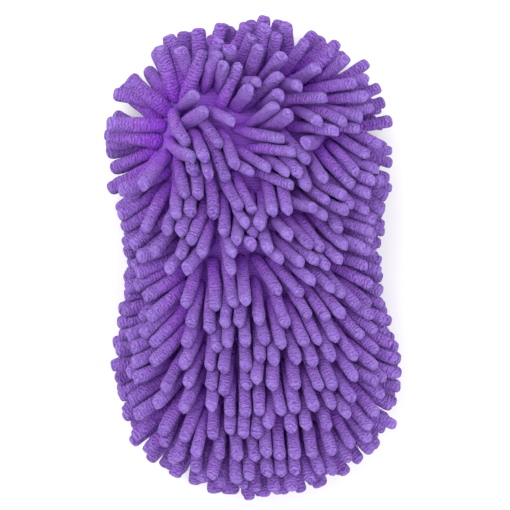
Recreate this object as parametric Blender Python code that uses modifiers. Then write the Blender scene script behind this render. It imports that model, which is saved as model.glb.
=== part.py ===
"""A car wash mitt, lying on its hand pocket with its chenille pile up.

A foam core in the plan of a figure eight is sewn into a cover: a domed front cloth, an upright
edge cloth and a flat back cloth. Chenille pile stands on the front cloth in straight rows, and on
the shoulder and the edge in rows that run right round. A hand pocket with an elastic mouth is
sewn under the back cloth, and one binding tape holds the raw edges of back cloth and pocket.

X is the width, Y the length, Z up. The origin is the centre of the footprint, on the table.
"""

import math

import bmesh
import bpy

MM = 0.001

# Plan of the foam core: a rounded oblong with a waist. Every other plan is this one, grown.
CORE_HALF_LENGTH = 94.5 * MM
CORE_HALF_WIDTH = 53 * MM
CORNER_POWER = 2.6  # 2 is an ellipse, and more is squarer
WAIST_DEPTH = 17.5 * MM
WAIST_REACH = 45 * MM
PLAN_POINTS = 48
FINE_POINTS = 960  # for spacing the plan's points evenly

# Heights, from the table up.
POCKET_RIM_Z = 11 * MM
BACK_Z = 14 * MM
FOAM_Z = 16 * MM
SEAM_Z = 36 * MM  # where the edge cloth meets the front cloth
SHOULDER = 14 * MM  # radius from the edge to the front
CROWN = 5 * MM  # how much the front bulges at its middle
PILE_DEPTH = 19 * MM  # how high the pile lies over the front cloth
PILE_REACH = 27 * MM  # how far the pile stands out past the core

# Cloths and trim.
GAP = 0.3 * MM  # between pieces that touch
CLOTH = 1.2 * MM
BACK_CLOTH = 1.7 * MM
POCKET_CLOTH = 1.3 * MM
FLANGE = 6 * MM  # seam allowance that stands out past the core, inside the binding
TAPE = 0.9 * MM
THREAD = 0.6 * MM
COVER = GAP + CLOTH  # from the foam to the outside of its cover
PILE_START = COVER + THREAD + 3 * GAP  # the pile clears the cover's seam thread

# Hand pocket, open towards +Y.
MOUTH_Y = 45 * MM
HEM_WIDTH = 10 * MM
HEM_THICK = 2.6 * MM
ELASTIC_WIDTH = 6 * MM
ELASTIC_THICK = 0.8 * MM
BARTACK = (1.2 * MM, 8 * MM, 0.6 * MM)
LABEL = (22 * MM, 31 * MM, 0.6 * MM)

# Rows of pile.
FRONT_ROWS = 17
ROW_PITCH = 10.5 * MM

COLOURS = {
    "chenille": (0.20, 0.085, 0.44),
    "base_cloth": (0.16, 0.05, 0.36),
    "foam": (0.80, 0.74, 0.52),
    "back_mesh": (0.13, 0.045, 0.30),
    "tape": (0.10, 0.035, 0.24),
    "elastic": (0.72, 0.70, 0.74),
    "thread": (0.15, 0.06, 0.34),
    "label": (0.86, 0.86, 0.84),
}


def clear_scene():
    for old in list(bpy.data.objects):
        bpy.data.objects.remove(old)


def new_collection(name):
    made = bpy.data.collections.new(name)
    bpy.context.scene.collection.children.link(made)
    return made


def material(name):
    """The plain material of that name, made the first time it is asked for."""
    made = bpy.data.materials.get(name)
    if made is None:
        made = bpy.data.materials.new(name)
        made.use_nodes = True
        shader = made.node_tree.nodes["Principled BSDF"]
        shader.inputs["Base Color"].default_value = (*COLOURS[name], 1)
        shader.inputs["Roughness"].default_value = 0.9
        shader.inputs["Metallic"].default_value = 0.0
    return made


def half_width(y, half_length, width):
    """Half the plan's width at y. A plan smaller than the core has a shallower waist."""
    along = min(1.0, abs(y) / half_length)
    oblong = (1 - along**CORNER_POWER) ** (1 / CORNER_POWER)
    waist = WAIST_DEPTH * min(1.0, width / CORE_HALF_WIDTH)
    return oblong * (width - waist * math.exp(-((y / WAIST_REACH) ** 2)))


def plan(grown):
    """The core's plan with both half sizes grown, as PLAN_POINTS evenly spaced points."""
    half_length = CORE_HALF_LENGTH + grown
    width = CORE_HALF_WIDTH + grown
    fine = []
    for i in range(FINE_POINTS + 1):
        turn = 2 * math.pi * i / FINE_POINTS
        y = half_length * math.copysign(abs(math.sin(turn)) ** (2 / CORNER_POWER), math.sin(turn))
        fine.append((math.copysign(half_width(y, half_length, width), math.cos(turn)), y))
    along = [0.0]
    for a, b in zip(fine, fine[1:]):
        along.append(along[-1] + math.dist(a, b))
    points, k = [], 0
    for i in range(PLAN_POINTS):
        wanted = along[-1] * i / PLAN_POINTS
        while along[k + 1] < wanted:
            k += 1
        share = (wanted - along[k]) / (along[k + 1] - along[k])
        points.append(tuple(a + share * (b - a) for a, b in zip(fine[k], fine[k + 1])))
    return points


def arc(centre, radius, start, end, steps):
    """Ring sections (grown, z) along an arc, with angles in degrees from outwards to up."""
    rings = []
    for i in range(steps + 1):
        angle = math.radians(start + (end - start) * i / steps)
        rings.append((centre[0] + radius[0] * math.cos(angle), centre[1] + radius[1] * math.sin(angle)))
    return rings


def dome(clear):
    """Ring sections of the front's outside, from the seam over the shoulder to the crown, clear of the foam."""
    shoulder = arc((-SHOULDER, SEAM_Z), (SHOULDER + clear, SHOULDER + clear), 0, 90, 4)
    top = SEAM_Z + SHOULDER + clear
    return shoulder + [(-24 * MM, top + 0.55 * CROWN), (-37 * MM, top + CROWN)]


def solid(name, bm, material_name):
    """The object of a finished bmesh."""
    mesh = bpy.data.meshes.new(name)
    bm.to_mesh(mesh)
    bm.free()
    mesh.materials.append(material(material_name))
    made = bpy.data.objects.new(name, mesh)
    PARTS.objects.link(made)
    return made


def loft(name, rings, material_name, ends="capped"):
    """A body whose plan is grown as each ring section (grown, z) says.

    ends is "capped" for a solid, "joined" for a hoop whose last ring meets its first, and "cup" for
    an open sheet with only its last ring filled, whose outside is the side away from its rim.
    """
    bm = bmesh.new()
    step = bm.verts.layers.int.new("step")
    start = bmesh.ops.create_circle(bm, segments=PLAN_POINTS, radius=1)["verts"]
    for i, vertex in enumerate(start):
        vertex[step] = i
    edges = list(bm.edges)
    first = edges
    ring = start
    for i, (grown, z) in enumerate(rings):
        if i:
            geometry = bmesh.ops.extrude_edge_only(bm, edges=edges)["geom"]
            ring = [g for g in geometry if isinstance(g, bmesh.types.BMVert)]
            new = set(ring)
            edges = [g for g in geometry if isinstance(g, bmesh.types.BMEdge) and new.issuperset(g.verts)]
        points = plan(grown)
        for vertex in ring:
            vertex.co = (*points[vertex[step]], z)
    if ends == "joined":
        bmesh.ops.bridge_loops(bm, edges=first + edges)
    else:
        filled = bmesh.ops.holes_fill(bm, edges=edges if ends == "cup" else first + edges)["faces"]
    bmesh.ops.recalc_face_normals(bm, faces=bm.faces)
    if ends == "cup" and filled[0].normal.z * (rings[-1][1] - rings[0][1]) < 0:
        bmesh.ops.reverse_faces(bm, faces=bm.faces)
    made = solid(name, bm, material_name)
    made.data.shade_smooth()
    made.data.set_sharp_from_angle(angle=math.radians(40))
    return made


def box(name, low, high, material_name=None):
    """A box between two corners. Without a material it is a cutter."""
    middle = [(a + b) / 2 for a, b in zip(low, high)]
    bpy.ops.mesh.primitive_cube_add(size=1, location=middle)
    made = bpy.context.active_object
    made.name = name
    made.scale = [b - a for a, b in zip(low, high)]
    bpy.ops.object.transform_apply(location=False, rotation=False, scale=True)
    for collection in list(made.users_collection):
        collection.objects.unlink(made)
    if material_name:
        made.data.materials.append(material(material_name))
        PARTS.objects.link(made)
    else:
        made.hide_render = True
        made.display_type = "WIRE"
        CUTTERS.objects.link(made)
    return made


def slab(name, low_y, high_y):
    """A cutter across the whole mitt between two places along it."""
    wide, high = 200 * MM, 120 * MM
    return box(name, (-wide, low_y, -high), (wide, high_y, high))


def cut(target, cutter, operation="DIFFERENCE"):
    modifier = target.modifiers.new(cutter.name, "BOOLEAN")
    modifier.operation = operation
    modifier.object = cutter
    modifier.solver = "EXACT"
    return target


def thicken(sheet, thickness, outwards):
    """Gives an open sheet its thickness on one side, and leaves the sheet as the other side."""
    modifier = sheet.modifiers.new("thickness", "SOLIDIFY")
    modifier.thickness = thickness
    modifier.offset = 1 if outwards else -1
    modifier.use_even_offset = True
    return sheet


def foam_core():
    bottom = [(-3 * MM, FOAM_Z), (0, FOAM_Z + 3 * MM)]
    return loft("foam_core", bottom + dome(0), "foam")


def front_cloth():
    """The domed cloth that the front's pile is tufted into."""
    return thicken(loft("front_cloth", dome(GAP), "base_cloth", "cup"), CLOTH, True)


def edge_cloth():
    """The upright strip round the core, from the back seam to the front seam."""
    low, high = FOAM_Z, SEAM_Z - GAP
    section = [(GAP, low), (COVER, low), (COVER, high), (GAP, high)]
    return loft("edge_cloth", section, "base_cloth", "joined")


def back_cloth():
    return loft("back_cloth", [(FLANGE, BACK_Z), (FLANGE, BACK_Z + BACK_CLOTH)], "back_mesh")


def thread_hoop(name, grown, z):
    """A line of stitching right round the mitt."""
    section = arc((grown, z), (THREAD / 2, THREAD / 2), 0, 300, 5)
    return loft(name, section, "thread", "joined")


def binding():
    """A folded tape of C section that wraps the back cloth's rim and the pocket's rim."""
    low = POCKET_RIM_Z - GAP
    high = BACK_Z + BACK_CLOTH + GAP
    outside = FLANGE + 2 * GAP + TAPE
    upper_reach = COVER + 2 * GAP
    lower_reach = 1 * MM
    section = [
        (lower_reach, low - TAPE), (outside, low - TAPE), (outside, high + TAPE), (upper_reach, high + TAPE),
        (upper_reach, high), (outside - TAPE, high), (outside - TAPE, low), (lower_reach, low),
    ]
    loft("edge_binding", section, "tape", "joined")
    middle = (upper_reach + outside) / 2
    thread_hoop("binding_thread_upper", middle, high + TAPE + GAP + THREAD / 2)
    thread_hoop("binding_thread_lower", middle, low - TAPE - GAP - THREAD / 2)


def pocket_sheet(name, thickness, material_name, lift=0.0, rim=FLANGE):
    """The pocket's dished shape as a sheet: a rim in the binding, sloping walls, and a flat palm."""
    rings = [
        (rim, POCKET_RIM_Z + lift), (-1 * MM, POCKET_RIM_Z + lift), (-4 * MM, 7.5 * MM + lift),
        (-7 * MM, 1.8 * MM + lift), (-9 * MM, lift),
    ]
    return thicken(loft(name, rings, material_name, "cup"), thickness, False)


def as_cutter(target):
    PARTS.objects.unlink(target)
    CUTTERS.objects.link(target)
    target.hide_render = True
    target.display_type = "WIRE"
    return target


def hand_pocket():
    """The pocket, its folded hem at the mouth, and the elastic that runs through the hem."""
    far = 150 * MM
    hem_start = MOUTH_Y + GAP
    hem_end = hem_start + HEM_WIDTH
    channel_lift = (HEM_THICK - ELASTIC_THICK) / 2 - GAP
    elastic_lift = channel_lift + GAP
    elastic_start = (hem_start + hem_end - ELASTIC_WIDTH) / 2
    elastic_end = elastic_start + ELASTIC_WIDTH

    pocket = pocket_sheet("hand_pocket", POCKET_CLOTH, "back_mesh")
    cut(pocket, slab("pocket_span", -far, MOUTH_Y), "INTERSECT")

    channel = pocket_sheet("hem_channel", ELASTIC_THICK + 2 * GAP, "tape", channel_lift, FLANGE + 2 * MM)
    cut(channel, slab("channel_span", elastic_start - GAP, elastic_end + GAP), "INTERSECT")
    hem = pocket_sheet("pocket_hem", HEM_THICK, "tape")
    cut(hem, slab("hem_span", hem_start, hem_end), "INTERSECT")
    cut(hem, as_cutter(channel))

    elastic = pocket_sheet("pocket_elastic", ELASTIC_THICK, "elastic", elastic_lift, FLANGE - GAP)
    cut(elastic, slab("elastic_span", elastic_start, elastic_end), "INTERSECT")


def bartacks():
    """A dense block of stitching at each end of the pocket's mouth, on the binding."""
    width, length, thick = BARTACK
    top = POCKET_RIM_Z - 2 * GAP - TAPE
    middle = MOUTH_Y + HEM_WIDTH / 2
    out = half_width(middle, CORE_HALF_LENGTH, CORE_HALF_WIDTH) + 2.4 * MM
    for name, side in (("pocket_bartack_left", -1), ("pocket_bartack_right", 1)):
        low = (side * out - width / 2, middle - length / 2, top - thick)
        high = (side * out + width / 2, middle + length / 2, top)
        box(name, low, high, "thread")


def care_label():
    """A blank folded label, caught in the binding at the end beyond the pocket's mouth."""
    width, length, thick = LABEL
    end = CORE_HALF_LENGTH + FLANGE
    top = BACK_Z - GAP
    box("care_label", (-width / 2, end - length, top - thick), (width / 2, end, top), "label")


def pile():
    """The pile as soft blocks: hoops on the edge and the shoulder, and rows across the front."""
    low = BACK_Z + BACK_CLOTH + 3 * GAP + TAPE + THREAD
    middle = (low + SEAM_Z) / 2
    outside = PILE_REACH
    slope = 3 * MM
    lower = [
        (PILE_START, low), (outside - slope, low), (outside, low + slope),
        (outside, middle - GAP / 2), (PILE_START, middle - GAP / 2),
    ]
    upper = [
        (PILE_START, middle + GAP / 2), (outside, middle + GAP / 2),
        (outside, SEAM_Z - GAP / 2), (PILE_START, SEAM_Z - GAP / 2),
    ]
    loft("edge_pile_lower", lower, "chenille", "joined")
    loft("edge_pile_upper", upper, "chenille", "joined")

    # The shoulder's hoop and the front share a sloping face, from part way up the shoulder outwards.
    start = SEAM_Z + GAP / 2
    split = 55  # degrees up the shoulder
    over = (-SHOULDER, SEAM_Z)
    near = (SHOULDER + PILE_START, SHOULDER + PILE_START)
    far = (SHOULDER + PILE_REACH, SHOULDER + PILE_DEPTH + COVER)
    outer = arc(over, far, 0, split, 3)
    inner = arc(over, near, split, 0, 3)
    hoop = [(outer[0][0], start), *outer[1:], *inner[:-1], (inner[-1][0], start)]
    loft("shoulder_pile", hoop, "chenille", "joined")

    slip = 1  # degrees of clearance between the hoop and the front
    top = SEAM_Z + far[1]
    under = arc(over, near, 90, split + slip, 2)
    bottom = [(g, z + PILE_START) for g, z in reversed(dome(0)[-2:])]
    above = arc(over, far, split + slip, 90, 2)
    cap = [(-24 * MM, top + 0.55 * CROWN), (-37 * MM, top + CROWN)]
    front = as_cutter(loft("front_pile", bottom + under + above + cap, "chenille"))
    far_end = 150 * MM
    for i in range(FRONT_ROWS):
        start_y = (i - FRONT_ROWS / 2) * ROW_PITCH + GAP / 2
        end_y = start_y + ROW_PITCH - GAP
        if i == 0:
            start_y = -far_end
        if i == FRONT_ROWS - 1:
            end_y = far_end
        name = f"front_row_{i + 1:02d}"
        row = bpy.data.objects.new(name, front.data)
        PARTS.objects.link(row)
        cut(row, slab(f"{name}_span", start_y, end_y), "INTERSECT")


clear_scene()
PARTS = new_collection("wash_mitt")
CUTTERS = new_collection("cutters")
foam_core()
front_cloth()
edge_cloth()
back_cloth()
thread_hoop("front_seam_thread", COVER + GAP + THREAD / 2, SEAM_Z - GAP / 2)
binding()
hand_pocket()
bartacks()
care_label()
pile()
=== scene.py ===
"""Looks for a chenille wash mitt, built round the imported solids.

Every chenille finger is planted on the cover's cloth, stroked the way the pile lies, and settled
against its neighbours. The fingers of one row or ring make one piece, which stands for that row's
soft block. The cloths, pocket, tape and stitches follow.
"""

import math

import bmesh
import bpy
import numpy as np
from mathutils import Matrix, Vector
from mathutils.bvhtree import BVHTree
from mathutils.kdtree import KDTree


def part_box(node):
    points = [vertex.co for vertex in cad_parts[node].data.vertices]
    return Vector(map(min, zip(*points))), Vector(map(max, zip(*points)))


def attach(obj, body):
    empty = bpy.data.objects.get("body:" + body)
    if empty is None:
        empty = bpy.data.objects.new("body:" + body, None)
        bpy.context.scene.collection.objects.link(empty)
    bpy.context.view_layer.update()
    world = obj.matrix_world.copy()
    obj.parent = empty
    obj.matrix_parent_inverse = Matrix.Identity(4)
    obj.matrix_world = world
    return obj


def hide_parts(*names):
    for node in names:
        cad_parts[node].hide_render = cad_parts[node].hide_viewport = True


MM = 0.001

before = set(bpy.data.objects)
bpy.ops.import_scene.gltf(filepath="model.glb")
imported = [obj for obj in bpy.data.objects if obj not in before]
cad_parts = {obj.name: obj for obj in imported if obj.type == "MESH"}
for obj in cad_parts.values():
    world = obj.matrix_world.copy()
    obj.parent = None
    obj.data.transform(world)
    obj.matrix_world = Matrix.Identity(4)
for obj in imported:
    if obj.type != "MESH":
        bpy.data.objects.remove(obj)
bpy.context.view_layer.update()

# ---------------------------------------------------------------- the pile's measures

FINGER_LENGTH = 30 * MM
FINGER_RADIUS = 3.5 * MM
LINKS = 7  # a finger bends at the joints of this many links
FRONT_PITCH = 6.8 * MM  # from finger to finger along a row
ROW_PITCH = 10.5 * MM
RING_PITCH = 7.2 * MM
GROOVE_PITCH = 1.6 * MM  # of the grooves round a finger
EDGE_COVER = 1.5 * MM  # from the foam to the outside of its cover
SHOULDER_RADIUS = 15.5 * MM  # of the round from the front cloth's seam up to its flat
FRONT_TILT = 0.68  # the shoulder's rings take over where the cloth is steeper than this

# Where the pile was stroked, and which way: across and along in millimetres, and the heading in
# degrees from the right, anticlockwise. Between strokes a finger follows the nearest ones.
STROKES = (
    # the end beyond the pocket's mouth, from left to right
    (-53, 74, 156), (-45, 87, 119), (-35, 95, 103), (-25, 97, 90), (-12, 100, 84), (1, 98, 78),
    (12, 110, 74), (24, 97, 52), (30, 84, 15), (47, 82, 16), (49, 62, -27), (-30, 112, 98),
    (-8, 114, 86), (34, 108, 58), (48, 96, 36), (62, 78, 12), (66, 58, -8), (-45, 104, 124),
    (-37, 111, 112),
    # round the whorl
    (-22, 91, 62), (-5, 90, 52), (10, 90, 50), (24, 90, 35), (-20, 83, 24), (-8, 78, 12),
    (10, 78, 2), (-35, 60, -62), (-28, 61, -78), (-21, 66, -48), (-6, 55, -3),
    (30, 72, -33), (22, 68, -40),
    # the left side, down to the waist and past it
    (-64, 62, 177), (-64, 54, -171), (-62, 44, -148), (-58, 26, -145), (-55, 15, -140),
    (-54, -1, -178), (-58, -24, -178), (-64, -43, -180), (-62, -56, -164), (-64, -64, -153),
    # the middle of the upper half and the right side
    (-45, 23, -117), (-29, 43, -101), (-4, 42, -62), (27, 43, -56), (33, 32, -48), (44, 38, -60),
    (53, 44, -42), (21, 31, -87), (55, 29, -41), (57, 16, -20), (52, 9, -3), (31, 2, -69),
    (49, -1, -27), (15, -4, -30),
    # the lower half, which lies like shingles
    (-27, -20, -93), (-7, -21, -93), (12, -22, -86), (26, -26, -70), (38, -31, -45), (57, -39, -21),
    (-30, -42, -96), (-6, -42, -92), (14, -43, -88), (30, -45, -78), (43, -49, -48), (-46, -44, -165),
    (-31, -62, -98), (-6, -62, -92), (14, -62, -88), (29, -65, -76), (42, -69, -50), (60, -64, -8),
    (-50, -62, -150), (-28, -82, -96), (10, -84, -88), (28, -86, -76),
    (-60, -83, -134), (-48, -92, -117), (-39, -102, -104), (-24, -105, -93), (-6, -96, -93),
    (13, -110, -81), (31, -108, -69), (44, -98, -56), (57, -84, -40), (63, -74, -17),
)
STROKE_REACH = 11 * MM
# Tufts that stand up instead of lying: across, along, reach in millimetres, and lift in degrees.
UPRIGHT = ((-33, 76, 7, 60), (-10, 16, 9, 80), (8, 66, 7, 55), (-14, 81, 8, 55), (2, 78, 8, 50))
# How far a finger lifts from level, in degrees.
FLAT_LIFT = 36  # on the flat front
EDGE_LIFT = -31  # on the upright edge, where it droops
END_DROOP = 24  # how much more it droops on the edge at the upper end, and half of it at the lower


def pick(seed):
    return np.random.default_rng(seed)


def unit(vectors):
    """The same vectors at length 1, along their last axis."""
    return vectors / np.maximum(np.sqrt((vectors**2).sum(axis=-1, keepdims=True)), 1e-12)


def tree_of(*names):
    """A search tree over CAD nodes' faces."""
    points, faces = [], []
    for name in names:
        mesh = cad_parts[name].data
        first = len(points)
        points += [v.co.copy() for v in mesh.vertices]
        faces += [[first + i for i in face.vertices] for face in mesh.polygons]
    return BVHTree.FromPolygons(points, faces)


# ---------------------------------------------------------------- planting


def front_roots(name, index, tree):
    """Roots across the front in one row, or in the several rows of an end piece."""
    low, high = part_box(name)
    random = pick(100 + index)
    rows = max(1, round((high.y - low.y) / ROW_PITCH))
    from_high = low.y < 0  # rows are counted from a piece's inner edge
    roots = []
    for row in range(rows):
        along = high.y - (row + 0.5) * ROW_PITCH if from_high else low.y + (row + 0.5) * ROW_PITCH
        stagger = random.uniform(-0.1, 0.1)
        for column in range(-8, 9):
            x = (column + stagger) * FRONT_PITCH + random.uniform(-0.25, 0.25) * MM
            y = along + random.uniform(-0.6, 0.6) * MM
            place, normal, _, _ = tree.ray_cast(Vector((x, y, 1)), Vector((0, 0, -1)))
            if place and normal.z > FRONT_TILT:
                roots.append((place, normal))
    return roots


def outline(tree, height, turns):
    """Places and normals where the outside lies at one height, in equal turns about the Z axis."""
    found = []
    for i in range(turns):
        turn = 2 * math.pi * i / turns
        out = Vector((math.cos(turn), math.sin(turn), 0))
        place, normal, _, _ = tree.ray_cast(out * 0.3 + Vector((0, 0, height)), -out)
        found.append((place, normal))
    return found


def spaced(found, pitch, start=0.0, jitter=None):
    """Indices into an outline, about one pitch apart along it."""
    along = [0.0]
    for (a, _), (b, _) in zip(found, found[1:] + found[:1]):
        along.append(along[-1] + (a - b).length)
    count = round(along[-1] / pitch)
    picked = []
    for i in range(count):
        shift = jitter.uniform(-0.12, 0.12) if jitter else 0
        wanted = (i + start + shift) % count * along[-1] / count
        picked.append(int(np.searchsorted(along, wanted)) % len(found))
    return picked


def ring_roots(height, seed, tree):
    """Roots in a ring round the mitt at one height, as evenly spaced as fits."""
    random = pick(seed)
    hits = outline(tree, height, 720)
    return [
        (hits[k][0] + Vector((0, 0, random.uniform(-0.8, 0.8) * MM)), hits[k][1])
        for k in spaced(hits, RING_PITCH, 0.5 * (seed % 2), random)
    ]


def planted():
    """(roots, normals, owners): every finger's root, the cloth's normal there, and its CAD row."""
    front = tree_of("front_cloth")
    edge = tree_of("edge_cloth")
    found = []
    rows = sorted(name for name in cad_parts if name.startswith("front_row_"))
    for index, name in enumerate(rows):
        found += [(*root, name) for root in front_roots(name, index, front)]
    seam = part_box("front_cloth")[0].z
    for seed, angle in ((201, 50), (202, 31), (203, 11)):
        height = seam + SHOULDER_RADIUS * math.sin(math.radians(angle))
        found += [(*root, "shoulder_pile") for root in ring_roots(height, seed, front)]
    for seed, name in ((204, "edge_pile_upper"), (205, "edge_pile_lower")):
        low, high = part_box(name)
        found += [(*root, name) for root in ring_roots((low.z + high.z) / 2, seed, edge)]
    roots = np.array([place for place, _, _ in found])
    normals = np.array([normal for _, normal, _ in found])
    return roots, normals, [name for _, _, name in found]


# ---------------------------------------------------------------- stroking and settling


def heading(places):
    """The way the pile was stroked at each place (n, 2), and how far the strokes there agree (n,)."""
    strokes = np.array(STROKES, float)
    apart = places[:, None, :] - strokes[None, :, :2] * MM
    weights = np.exp(-(apart**2).sum(axis=2) / (2 * STROKE_REACH**2)) + 1e-9
    turns = np.radians(strokes[:, 2])
    ways = np.stack([np.cos(turns), np.sin(turns)], axis=1)
    mean = (weights[:, :, None] * ways[None]).sum(axis=1) / weights.sum(axis=1)[:, None]
    return unit(mean), np.sqrt((mean**2).sum(axis=1))


def tousled(roots):
    """How untidy the pile is at each root: from 0 over the lower half to 1 at the whorl's end."""
    return np.clip((roots[:, 1] - 5 * MM) / (35 * MM), 0, 1)


def lie(roots, normals):
    """The direction (n, 3) that each finger lies in once it is stroked."""
    random = pick(7)
    # The strokes are read where a finger comes to lie: further out on the edge, further along on the front.
    flat = normals[:, :2] * (1 - normals[:, 2:])
    places = roots[:, :2] + flat * 18 * MM
    way, _ = heading(places)
    way, agreed = heading(places + way * 8 * MM * normals[:, 2:])
    loose = 1 - agreed
    untidy = tousled(roots)
    turn = random.normal(0, 1, len(roots)) * np.radians(3 + (11 + 60 * loose * normals[:, 2]) * untidy)
    cos, sin = np.cos(turn), np.sin(turn)
    way = np.stack([way[:, 0] * cos - way[:, 1] * sin, way[:, 0] * sin + way[:, 1] * cos], axis=1)
    tilt = normals[:, 2]
    rise = (FLAT_LIFT - EDGE_LIFT) * tilt
    lift = np.radians(EDGE_LIFT + rise + 55 * loose * tilt * untidy + random.normal(0, 3, len(roots)))
    upper_end = np.clip((roots[:, 1] - 70 * MM) / (30 * MM), 0, 1)
    lower_end = np.clip((-80 * MM - roots[:, 1]) / (30 * MM), 0, 1)
    lift = lift - np.radians(END_DROOP) * (upper_end + 0.5 * lower_end) * (1 - tilt)
    for across, along, reach, up in UPRIGHT:
        away = roots[:, :2] - np.array([across, along]) * MM
        near = np.exp(-(away**2).sum(axis=1) / (reach * MM) ** 2)
        lift = lift + (np.radians(up) - lift) * near * (normals[:, 2] > 0.8)
    return np.concatenate([way * np.cos(lift)[:, None], np.sin(lift)[:, None]], axis=1)


def neighbours(points, owner, reach):
    """Pairs of joints of different fingers that are within reach."""
    tree = KDTree(len(points))
    for i, point in enumerate(points):
        tree.insert(point, i)
    tree.balance()
    pairs = [(i, j) for i, point in enumerate(points) for _, j, _ in tree.find_range(point, reach) if j > i]
    pairs = np.array(pairs)
    return pairs[owner[pairs[:, 0]] != owner[pairs[:, 1]]]


def push_apart(points, pairs, free, radius):
    """Moves touching joints apart, in place."""
    a, b = pairs[:, 0], pairs[:, 1]
    between = points[b] - points[a]
    distance = np.sqrt((between**2).sum(axis=1))
    short = radius[a] + radius[b] - distance
    close = short > 0
    a, b = a[close], b[close]
    move = between[close] / np.maximum(distance[close], 1e-9)[:, None] * short[close][:, None]
    share = free[a] + free[b]
    share[share == 0] = 1
    size = len(points)
    for axis in range(3):
        points[:, axis] -= 0.5 * np.bincount(a, move[:, axis] * free[a] / share, size)
        points[:, axis] += 0.5 * np.bincount(b, move[:, axis] * free[b] / share, size)


def push_out(points, clear, tree, within):
    """Moves joints out of a closed body until they clear its surface by clear, in place."""
    for i, point in enumerate(points):
        place, normal, _, distance = tree.find_nearest(point, within)
        if place is None:
            continue
        away = Vector(point) - place
        outside = away.dot(normal) >= 0
        height = distance if outside else -distance
        if height < clear[i]:
            points[i] += np.array(normal) * (clear[i] - height)


def settled(roots, normals):
    """Every finger's joints (n, LINKS + 1, 3), stroked and resting on its neighbours, and its length (n,).

    The joints also keep clear of the foam's cover, the binding and the floor.
    """
    random = pick(11)
    count = len(roots)
    lengths = FINGER_LENGTH * random.normal(1, 0.03, count) * (0.93 + 0.07 * normals[:, 2])
    ends = np.clip((np.abs(roots[:, 1]) - 78 * MM) / (18 * MM), 0, 1)
    lengths = lengths * (1 - 0.14 * ends)
    link = ((lengths - FINGER_RADIUS) / LINKS)[:, None, None]
    target = lie(roots, normals)
    curl = random.normal(0, 1, (count, 1, 3)) * (0.12 + 0.22 * tousled(roots))[:, None, None]
    along = np.arange(LINKS)[None, :, None] / (LINKS - 1)
    turned = np.clip((np.arange(LINKS) + 0.6) / 2.5, 0, 1)[None, :, None]
    upright = unit(normals + 0.15 * target)[:, None, :]
    stroked = unit(upright * (1 - turned) + (target[:, None, :] + curl * along) * turned)

    joints = np.arange(LINKS + 1)[None, :, None]
    points = roots[:, None, :] + upright * link * joints
    owner = np.repeat(np.arange(count), LINKS + 1)
    free = np.tile([0.0] + [1.0] * LINKS, count)
    thick = np.tile([0.3, 0.7] + [0.97] * (LINKS - 1), count) * FINGER_RADIUS
    lowest = 1.2 * FINGER_RADIUS  # a joint of a finger that lies on the floor
    body = tree_of("foam_core")
    rim = tree_of("edge_binding")
    clear = EDGE_COVER + np.minimum(FINGER_RADIUS, joints[:, :, 0] * link[:, :, 0] * 0.7)
    clear = clear.ravel()
    steps, stroking, rebuild = 240, 150, 8
    for step in range(steps):
        share = min(1.0, step / stroking)
        aim = unit(upright * (1 - share) + stroked * share)
        pull = 0.10 if step < steps - 50 else 0.03
        wanted = points[:, :-1] + aim * link
        points[:, 1:] += pull * (wanted - points[:, 1:])
        middle = 0.5 * (points[:, :-2] + points[:, 2:])
        points[:, 1:-1] += 0.30 * (middle - points[:, 1:-1])
        points[:, -1] += 0.15 * (2 * points[:, -2] - points[:, -3] - points[:, -1])
        flat = points.reshape(-1, 3)
        if step % rebuild == 0:
            pairs = neighbours(flat, owner, 2 * FINGER_RADIUS + 3 * MM)
        for _ in range(2):
            push_apart(flat, pairs, free, thick)
        if step % 2 == 0:
            push_out(flat, clear, body, 8 * MM)
            push_out(flat, clear - EDGE_COVER, rim, 4 * MM)
        flat[:, 2] = np.maximum(flat[:, 2], lowest)
        points = flat.reshape(count, LINKS + 1, 3)
        points[:, 0] = roots
        for _ in range(3):
            for first in (0, 1):
                a, b = points[:, first:-1:2], points[:, first + 1 :: 2]
                between = b - a
                long = np.sqrt((between**2).sum(axis=2, keepdims=True))
                stretch = between / np.maximum(long, 1e-9) * (long - link)
                held = np.where(np.arange(first, LINKS, 2) == 0, 0.0, 0.5)[None, :, None]
                points[:, first:-1:2] += stretch * held
                points[:, first + 1 :: 2] -= stretch * (1 - held)
    ways = unit(points[:, 1:] - points[:, :-1])
    points = np.concatenate([roots[:, None], roots[:, None] + np.cumsum(ways * link, axis=1)], axis=1)
    return points, lengths


# ---------------------------------------------------------------- fingers

SIDES = 6
SHAFT_RINGS = 8
# The rings of a finger's cage beyond its shaft, as how far out and how wide in radii: the foot,
# which is a point in the cloth, then the round tip, which ends in a point too.
FOOT = (-0.3, 0.0)
TIP = ((0.45, 1.0), (0.98, 0.82), (1.1, 0.0))
CAGE = 1.2  # how much wider the cage is, because subdividing draws it in
FLOOR_GAP = 0.3 * MM  # no cage comes closer to the floor


def spline(points, at):
    """Places and directions at distances along each finger: at is (rings,) in links from the root."""
    before = 2 * points[:, :1] - points[:, 1:2]
    after = 2 * points[:, -1:] - points[:, -2:-1]
    padded = np.concatenate([before, points, after], axis=1)
    k = np.clip(np.floor(at).astype(int), 0, LINKS - 1)
    t = (at - k)[None, :, None]
    p0, p1, p2, p3 = (padded[:, k + i] for i in range(4))
    a, b, c = -p0 + 3 * p1 - 3 * p2 + p3, 2 * p0 - 5 * p1 + 4 * p2 - p3, p2 - p0
    place = 0.5 * (2 * p1 + c * t + b * t**2 + a * t**3)
    way = 0.5 * (c + 2 * b * t + 3 * a * t**2)
    return place, unit(way)


def side_frames(ways):
    """Two directions across each finger at each ring, turned no more than the finger bends."""
    first = np.cross(ways[:, 0], np.array([0.3, 0.5, 0.81]))
    across = [unit(first)]
    for ring in range(1, ways.shape[1]):
        last = across[-1]
        across.append(unit(last - ways[:, ring] * (last * ways[:, ring]).sum(axis=1, keepdims=True)))
    across = np.stack(across, axis=1)
    return across, np.cross(ways, across)


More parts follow.
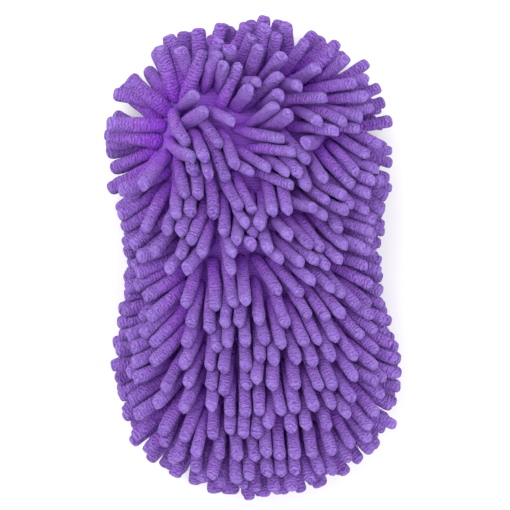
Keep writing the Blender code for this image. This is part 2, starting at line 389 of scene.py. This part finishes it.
def finger_cages(points, lengths):
    """Every finger's cage (n, rings, SIDES, 3), and how far along it each ring is (n, rings)."""
    random = pick(13)
    ends = np.array((FOOT, *TIP))
    reach = np.concatenate([[0], np.linspace(0, LINKS, SHAFT_RINGS), np.full(len(TIP), LINKS)])
    beyond = np.concatenate([ends[:1, 0], np.zeros(SHAFT_RINGS), ends[1:, 0]]) * FINGER_RADIUS
    radius = np.concatenate([ends[:1, 1], np.ones(SHAFT_RINGS), ends[1:, 1]]) * FINGER_RADIUS * CAGE
    place, way = spline(points, reach)
    place = place + way * beyond[None, :, None]
    across, up = side_frames(way)
    lumps = random.normal(1, 0.055, place.shape[:2]) * random.normal(1, 0.03, (len(points), 1))
    thick = (radius * lumps)[:, :, None, None]
    turn = (np.arange(SIDES) * 2 * math.pi / SIDES)[None, None, :, None]
    sides = np.cos(turn) * across[:, :, None] + np.sin(turn) * up[:, :, None]
    at = reach / LINKS * (lengths[:, None] - FINGER_RADIUS) + beyond
    cages = place[:, :, None] + thick * sides
    cages[..., 2] = np.maximum(cages[..., 2], FLOOR_GAP)
    return cages, at


def row_of_fingers(name, cages, at, tones):
    """One piece: the fingers of one row or ring."""
    bm = bmesh.new()
    along = bm.verts.layers.float.new("along")
    tone = bm.verts.layers.float.new("tone")
    steps = cages.shape[1] - 1
    for cage, distances, shade in zip(cages, at, tones):
        ball = bmesh.ops.create_uvsphere(bm, u_segments=SIDES, v_segments=steps, radius=1)["verts"]
        for corner in ball:
            ring = round(math.acos(max(-1, min(1, -corner.co.z))) / math.pi * steps)
            spoke = round(math.atan2(corner.co.y, corner.co.x) / (2 * math.pi) * SIDES) % SIDES
            corner.co = cage[ring, spoke]
            corner[along] = distances[ring]
            corner[tone] = shade
    bmesh.ops.recalc_face_normals(bm, faces=bm.faces)
    return piece(name, bm, chenille(), levels=1)


def pile():
    roots, normals, owners = planted()
    points, lengths = settled(roots, normals)
    cages, at = finger_cages(points, lengths)
    tones = pick(17).uniform(0, 1, len(roots))
    owners = np.array(owners)
    for name in sorted(set(owners)):
        mine = owners == name
        made = row_of_fingers(f"{name}_fingers", cages[mine], at[mine], tones[mine])
        finish(made, name)


# ---------------------------------------------------------------- making pieces


def piece(name, bm, look, levels=0):
    """A finished object from a bmesh, smooth, with its material and, if asked, a subdivision."""
    mesh = bpy.data.meshes.new(name)
    bm.to_mesh(mesh)
    bm.free()
    mesh.shade_smooth()
    mesh.materials.append(look)
    made = bpy.data.objects.new(name, mesh)
    bpy.context.scene.collection.objects.link(made)
    if levels:
        soften = made.modifiers.new("soften", "SUBSURF")
        soften.levels = levels
        soften.render_levels = levels
    return made


# ---------------------------------------------------------------- materials


def new_material(name):
    made = bpy.data.materials.new(name)
    made.use_nodes = True
    return made, made.node_tree.nodes, made.node_tree.links


def set_inputs(node, **values):
    """Sets a node's inputs by their names, with _ for a space."""
    for name, value in values.items():
        node.inputs[name.replace("_", " ")].default_value = value


def noise(nodes, links, scale, detail=2.0, roughness=0.5):
    """A noise texture on the object's own coordinates; returns its value output."""
    place = nodes.new("ShaderNodeTexCoord")
    made = nodes.new("ShaderNodeTexNoise")
    set_inputs(made, Scale=scale, Detail=detail, Roughness=roughness)
    links.new(place.outputs["Object"], made.inputs["Vector"])
    return made.outputs["Fac"]


def maths(nodes, links, how, *values):
    """A math node; each value is a number or an output."""
    made = nodes.new("ShaderNodeMath")
    made.operation = how
    for i, value in enumerate(values):
        if isinstance(value, (int, float)):
            made.inputs[i].default_value = value
        else:
            links.new(value, made.inputs[i])
    return made.outputs[0]


def between(nodes, links, value, *stops):
    """A colour ramp with (position, colour) stops."""
    made = nodes.new("ShaderNodeValToRGB")
    ramp = made.color_ramp
    ramp.elements[0].position, ramp.elements[0].color = stops[0][0], (*stops[0][1], 1)
    ramp.elements[1].position, ramp.elements[1].color = stops[-1][0], (*stops[-1][1], 1)
    for position, colour in stops[1:-1]:
        ramp.elements.new(position).color = (*colour, 1)
    links.new(value, made.inputs["Fac"])
    return made.outputs["Color"]


def times(nodes, links, a, b):
    """One colour times another."""
    made = nodes.new("ShaderNodeVectorMath")
    made.operation = "MULTIPLY"
    links.new(a, made.inputs[0])
    links.new(b, made.inputs[1])
    return made.outputs[0]


def raised(nodes, links, shader, height, depth):
    """Raises a surface by a height, which runs from 0 to 1 over depth."""
    made = nodes.new("ShaderNodeBump")
    set_inputs(made, Strength=1.0, Distance=depth)
    links.new(height, made.inputs["Height"])
    links.new(made.outputs["Normal"], shader.inputs["Normal"])


def chenille():
    """Soft chenille: broken grooves round each finger, fuzz, painted shade in the grooves and at the roots,
    and painted highlights on the raised fuzz and at the tips.
    """
    made = bpy.data.materials.get("purple_chenille")
    if made:
        return made
    made, nodes, links = new_material("purple_chenille")
    shader = nodes["Principled BSDF"]
    set_inputs(shader, Roughness=0.95, Specular_IOR_Level=0.1, Sheen_Weight=0.15, Sheen_Roughness=0.3)
    shader.inputs["Sheen Tint"].default_value = (0.75, 0.6, 1.0, 1)
    along = nodes.new("ShaderNodeAttribute")
    along.attribute_name = "along"
    tone = nodes.new("ShaderNodeAttribute")
    tone.attribute_name = "tone"

    wander = noise(nodes, links, 330, 3, 0.6)
    turns = maths(nodes, links, "MULTIPLY", along.outputs["Fac"], 2 * math.pi / GROOVE_PITCH)
    turns = maths(nodes, links, "MULTIPLY_ADD", wander, 18.0, turns)
    wave = maths(nodes, links, "MULTIPLY_ADD", maths(nodes, links, "SINE", turns), 0.5, 0.5)
    grooves = between(nodes, links, wave, (0.06, (1, 1, 1)), (0.5, (0, 0, 0)))
    broken = between(nodes, links, noise(nodes, links, 380), (0.36, (0.25,) * 3), (0.56, (1, 1, 1)))
    share = maths(nodes, links, "DIVIDE", along.outputs["Fac"], FINGER_LENGTH)
    shaft = between(nodes, links, share, (0.93, (1, 1, 1)), (1.0, (0.5,) * 3))
    grooves = maths(nodes, links, "MULTIPLY", grooves, broken)
    grooves = maths(nodes, links, "MULTIPLY", grooves, shaft)
    fuzz = noise(nodes, links, 1050, 4, 0.65)
    height = maths(nodes, links, "MULTIPLY_ADD", grooves, -0.55, fuzz)
    raised(nodes, links, shader, height, 1.5 * MM)

    # The purple dye with painted light: painted shade in the grooves, and a pale painted highlight on the
    # raised fuzz.
    dye_groove_shade_fuzz_highlight = between(
        nodes,
        links,
        maths(nodes, links, "ADD", height, 0.3),
        (0.3, (0.30, 0.07, 0.62)),
        (0.76, (0.395, 0.20, 0.77)),
        (1.0, (0.52, 0.36, 0.87)),
    )
    # Painted shade at the roots, where the fingers shade each other, and a painted highlight at the tips.
    depth = between(
        nodes,
        links,
        share,
        (0.1, (0.82, 0.32, 0.95)),
        (0.5, (0.84, 0.66, 0.86)),
        (0.95, (0.76, 0.84, 0.79)),
    )
    patch = between(nodes, links, noise(nodes, links, 45), (0.3, (0.94,) * 3), (0.7, (1, 1, 1)))
    shade = between(nodes, links, tone.outputs["Fac"], (0.0, (0.88, 0.87, 0.89)), (1.0, (1, 1, 1)))
    colour = times(nodes, links, times(nodes, links, dye_groove_shade_fuzz_highlight, depth), times(nodes, links, patch, shade))
    links.new(colour, shader.inputs["Base Color"])
    return made


def woven(name, dark, light, pitch, depth, roughness=0.85):
    """A cloth of small raised stitches on a square grid, the same on any side of a piece."""
    made = bpy.data.materials.get(name)
    if made:
        return made
    made, nodes, links = new_material(name)
    shader = nodes["Principled BSDF"]
    set_inputs(shader, Roughness=roughness, Specular_IOR_Level=0.2, Sheen_Weight=0.2)
    place = nodes.new("ShaderNodeTexCoord")
    parts = nodes.new("ShaderNodeSeparateXYZ")
    links.new(place.outputs["Object"], parts.inputs[0])
    wander = noise(nodes, links, 90)
    waves = []
    for axis in "XYZ":
        turns = maths(nodes, links, "MULTIPLY", parts.outputs[axis], 2 * math.pi / pitch)
        waves.append(maths(nodes, links, "SINE", maths(nodes, links, "MULTIPLY_ADD", wander, 1.5, turns)))
    first = maths(nodes, links, "MULTIPLY", waves[0], waves[1])
    second = maths(nodes, links, "MULTIPLY_ADD", waves[1], waves[2], first)
    height = maths(nodes, links, "MULTIPLY_ADD", second, 0.25, noise(nodes, links, 1400, 3))
    raised(nodes, links, shader, height, depth)
    cloth = between(nodes, links, height, (0.2, dark), (0.8, light))
    patch = between(nodes, links, noise(nodes, links, 30), (0.3, (0.9,) * 3), (0.7, (1, 1, 1)))
    links.new(times(nodes, links, cloth, patch), shader.inputs["Base Color"])
    return made


def knit():
    return woven("purple_knit", (0.20, 0.045, 0.45), (0.29, 0.10, 0.60), 1.5 * MM, 0.35 * MM)


def tape():
    return woven("purple_tape", (0.10, 0.03, 0.24), (0.18, 0.075, 0.36), 1.1 * MM, 0.3 * MM)


def elastic():
    return woven("white_elastic", (0.62, 0.61, 0.64), (0.80, 0.79, 0.81), 0.9 * MM, 0.3 * MM)


def thread():
    return woven("purple_thread", (0.12, 0.045, 0.26), (0.24, 0.12, 0.44), 0.35 * MM, 0.15 * MM, 0.6)


def satin():
    return woven("white_satin", (0.62, 0.62, 0.61), (0.76, 0.76, 0.75), 0.4 * MM, 0.05 * MM, 0.45)


def cells(name, scale, even, dark, light, depth):
    """A material of small cells: the holes of a mesh cloth, or the pores of a foam."""
    made = bpy.data.materials.get(name)
    if made:
        return made
    made, nodes, links = new_material(name)
    shader = nodes["Principled BSDF"]
    set_inputs(shader, Roughness=0.85, Specular_IOR_Level=0.2, Sheen_Weight=0.2)
    place = nodes.new("ShaderNodeTexCoord")
    cell = nodes.new("ShaderNodeTexVoronoi")
    set_inputs(cell, Scale=scale, Randomness=1 - even)
    links.new(place.outputs["Object"], cell.inputs["Vector"])
    wall = between(nodes, links, cell.outputs["Distance"], (0.18, (0, 0, 0)), (0.42, (1, 1, 1)))
    height = maths(nodes, links, "MULTIPLY_ADD", wall, 0.7, noise(nodes, links, 1300, 3))
    raised(nodes, links, shader, height, depth)
    links.new(between(nodes, links, height, (0.45, dark), (1.05, light)), shader.inputs["Base Color"])
    return made


def spacer_mesh():
    return cells("purple_spacer_mesh", 420, 0.85, (0.05, 0.012, 0.13), (0.20, 0.085, 0.40), 0.5 * MM)


def foam():
    return cells("cream_foam", 900, 0.0, (0.55, 0.50, 0.36), (0.80, 0.74, 0.56), 0.4 * MM)


def plain(name, colour):
    """A painted surface with a faint mottle."""
    made, nodes, links = new_material(name)
    shader = nodes["Principled BSDF"]
    set_inputs(shader, Roughness=0.9)
    worn = tuple(c * 0.985 for c in colour)
    mottle = between(nodes, links, noise(nodes, links, 3), (0.3, worn), (0.7, colour))
    links.new(mottle, shader.inputs["Base Color"])
    return made


# ---------------------------------------------------------------- cloths, tape and stitches


def finish(made, node):
    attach(made, "root")
    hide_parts(node)
    return made


def thicken(made, thickness, offset=-1):
    """Gives a sheet its thickness: away from the side its faces look to, or half each way at offset 0."""
    wall = made.modifiers.new("cloth", "SOLIDIFY")
    wall.thickness = thickness
    wall.offset = offset
    return made


def sheet_over(node, name, look, thickness, rows, columns, below=False, rim=0.5, ruffle=None):
    """A new sheet with the outline and height of a CAD node, seen from above or below.

    rim is how high in the node its outline is widest, from 0 to 1. ruffle(x, y) raises a place.
    """
    tree = tree_of(node)
    low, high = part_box(node)
    middle, half = (low.y + high.y) / 2, (high.y - low.y) / 2
    level = low.z + (high.z - low.z) * rim
    up = Vector((0, 0, 1 if below else -1))
    start = -0.1 if below else 0.2
    edges = {}
    bm = bmesh.new()
    bmesh.ops.create_grid(bm, x_segments=columns, y_segments=rows, size=1)
    for corner in bm.verts:
        y = middle + half * 0.999 * math.sin(corner.co.y * math.pi / 2)
        if y not in edges:
            place = tree.ray_cast(Vector((0.3, y, level)), Vector((-1, 0, 0)))[0]
            edges[y] = place.x
        x = edges[y] * 0.997 * math.sin(corner.co.x * math.pi / 2)
        place = tree.ray_cast(Vector((x, y, start)), up)[0]
        corner.co = place or Vector((x, y, level))
        if ruffle:
            corner.co.z += ruffle(x, y)
    if below:
        bmesh.ops.reverse_faces(bm, faces=bm.faces)
    return finish(thicken(piece(name, bm, look), thickness), node)


def band_over(node, name, look, thickness, turns=240, levels=8):
    """A new sheet that runs round the mitt where a CAD node does."""
    tree = tree_of(node)
    low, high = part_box(node)
    bm = bmesh.new()
    bmesh.ops.create_grid(bm, x_segments=turns, y_segments=levels, size=1)
    rings = {}
    for corner in bm.verts:
        height = low.z + (high.z - low.z) * (0.004 + 0.992 * (corner.co.y + 1) / 2)
        if height not in rings:
            rings[height] = outline(tree, height, turns)
        corner.co = rings[height][round((corner.co.x + 1) / 2 * turns) % turns][0]
    bmesh.ops.remove_doubles(bm, verts=bm.verts, dist=1e-6)
    bmesh.ops.recalc_face_normals(bm, faces=bm.faces)
    return finish(thicken(piece(name, bm, look), thickness), node)


STITCH_PITCH = 3.3 * MM
STITCH_LENGTH = 2.7 * MM


def stitch(bm, place, way, length, radius):
    """One stitch of thread, as a small round-ended bar."""
    turn = way.to_track_quat("Z", "Y")
    ball = bmesh.ops.create_uvsphere(bm, u_segments=6, v_segments=5, radius=radius)["verts"]
    for corner in ball:
        grown = corner.co.copy()
        grown.z += math.copysign(length / 2 - radius, grown.z) if abs(grown.z) > 1e-7 else 0
        corner.co = place + turn @ grown


def stitching(node, name):
    """A line of stitches round the mitt where a thread's CAD hoop runs."""
    low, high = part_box(node)
    radius = (high.z - low.z) / 2
    path = outline(tree_of(node), (low.z + high.z) / 2, 720)
    bm = bmesh.new()
    for k in spaced(path, STITCH_PITCH):
        place, normal = path[k]
        way = (path[(k + 2) % len(path)][0] - path[k - 2][0]).normalized()
        stitch(bm, place - normal * radius, way, STITCH_LENGTH, radius)
    finish(piece(name, bm, thread()), node)


def bartack(node, name):
    """A dense block of short stitches."""
    low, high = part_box(node)
    middle = (low + high) / 2
    radius = (high.z - low.z) / 2
    bm = bmesh.new()
    count = 12
    for i in range(count):
        y = low.y + (i + 0.5) / count * (high.y - low.y)
        way = Vector((1, 0.25 if i % 2 else -0.25, 0)).normalized()
        stitch(bm, Vector((middle.x, y, middle.z)), way, 2.6 * MM, radius)
    finish(piece(name, bm, thread()), node)


def folded_label():
    """A ribbon folded in two, with its ends in the binding."""
    low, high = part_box("care_label")
    long = high.y - low.y
    fold = (high.z - low.z) / 2
    bend = 0.02  # the share of each half that goes round the fold
    bm = bmesh.new()
    bmesh.ops.create_grid(bm, x_segments=8, y_segments=60, size=1)
    for corner in bm.verts:
        run = corner.co.y  # from -1, the upper end, round the fold at 0, to 1, the lower end
        x = corner.co.x * (high.x - low.x) / 2
        y = low.y + fold + (long - fold) * min(1, max(0, (abs(run) - bend) / (1 - bend)))
        if abs(run) < bend:
            y = low.y + fold * (1 - math.cos(abs(run) / bend * math.pi / 2))
        lift = -math.sin(max(-1, min(1, run / 0.03)) * math.pi / 2)
        curl = 0.5 * MM * (1 - abs(run)) * (corner.co.x**2)
        corner.co = Vector((x, y, (low.z + high.z) / 2 + lift * fold * 0.7 - curl))
    bmesh.ops.recalc_face_normals(bm, faces=bm.faces)
    label = thicken(piece("care_label_ribbon", bm, satin()), 0.15 * MM, offset=0)
    finish(label, "care_label")


def gathers(x, y, mouth=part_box("hand_pocket")[1].y):
    """How far the pocket's cloth is gathered up near its elastic mouth."""
    near = math.exp(-max(0, mouth - y) / (16 * MM))
    fold = 0.5 + 0.5 * math.sin(x / (2.1 * MM) + 1.5 * math.sin(y / (7 * MM)))
    slack = 0.5 + 0.5 * math.sin(x / (9 * MM) + y / (13 * MM)) * math.sin(y / (17 * MM))
    return 0.9 * MM * fold * near + 0.25 * MM * slack


def hem_gathers(x, y):
    """How far the hem's tape is gathered up along the elastic."""
    return 0.5 * MM * (0.5 + 0.5 * math.sin(x / (0.95 * MM) + 0.8 * math.sin(y / (2 * MM))))


def foam_pad():
    """The foam inside, in the CAD solid's own shape."""
    bm = bmesh.new()
    bm.from_mesh(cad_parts["foam_core"].data)
    bmesh.ops.remove_doubles(bm, verts=bm.verts, dist=1e-6)
    pad = piece("foam_pad", bm, foam())
    finish(pad, "foam_core")


def cloths():
    """Everything but the pile; the binding and the elastic keep their CAD shape."""
    front = sheet_over("front_cloth", "front_knit", knit(), 1.1 * MM, 120, 70, rim=0.03)
    edge = band_over("edge_cloth", "edge_knit", knit(), 1.1 * MM)
    back = sheet_over("back_cloth", "back_mesh_cloth", spacer_mesh(), 1.6 * MM, 100, 60, below=True)
    pocket = sheet_over(
        "hand_pocket",
        "hand_pocket_cloth",
        spacer_mesh(),
        1.2 * MM,
        rows=110,
        columns=110,
        below=True,
        rim=0.95,
        ruffle=gathers,
    )
    hem = sheet_over(
        "pocket_hem",
        "pocket_hem_tape",
        tape(),
        2.4 * MM,
        rows=12,
        columns=260,
        below=True,
        rim=0.9,
        ruffle=hem_gathers,
    )
    folded_label()
    for node, name in (
        ("front_seam_thread", "front_seam_stitches"),
        ("binding_thread_upper", "binding_stitches_upper"),
        ("binding_thread_lower", "binding_stitches_lower"),
    ):
        stitching(node, name)
    bartack("pocket_bartack_left", "bartack_stitches_left")
    bartack("pocket_bartack_right", "bartack_stitches_right")
    foam_pad()
    for node, look in (("edge_binding", tape()), ("pocket_elastic", elastic())):
        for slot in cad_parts[node].material_slots:
            slot.material = look


# ---------------------------------------------------------------- floor, light and camera


def set_stage():
    scene = bpy.context.scene
    bpy.ops.mesh.primitive_plane_add(size=6)
    floor = bpy.context.active_object
    floor.name = "floor"
    floor.data.materials.append(plain("pale_floor", (0.92, 0.92, 0.92)))

    world = bpy.data.worlds.new("studio")
    world.use_nodes = True
    world.node_tree.nodes["Background"].inputs["Color"].default_value = (1, 1, 1, 1)
    world.node_tree.nodes["Background"].inputs["Strength"].default_value = 1.2
    scene.world = world
    for name, place, power, size in (
        ("key_light", (-0.5, 0.5, 1.3), 10, 0.8),
        ("fill_light", (0.6, -0.4, 1.2), 6, 1.0),
    ):
        light = bpy.data.lights.new(name, "AREA")
        light.energy = power
        light.size = size
        lamp = bpy.data.objects.new(name, light)
        lamp.location = place
        lamp.rotation_euler = (-Vector(place)).to_track_quat("-Z", "Y").to_euler()
        scene.collection.objects.link(lamp)

    camera = bpy.data.objects.new("camera", bpy.data.cameras.new("camera"))
    rim = 0.03
    distance = 1.4
    seen = 0.255  # the width in view at the height of the mitt's rim
    camera.data.sensor_width = 36
    camera.data.lens = camera.data.sensor_width * distance / seen
    roll = math.radians(2.7)
    camera.location = (0.001, 0.0012, rim + distance)
    camera.rotation_euler = (0, 0, -roll)
    scene.collection.objects.link(camera)
    scene.camera = camera
    scene.view_settings.view_transform = "Standard"


pile()
cloths()
set_stage()
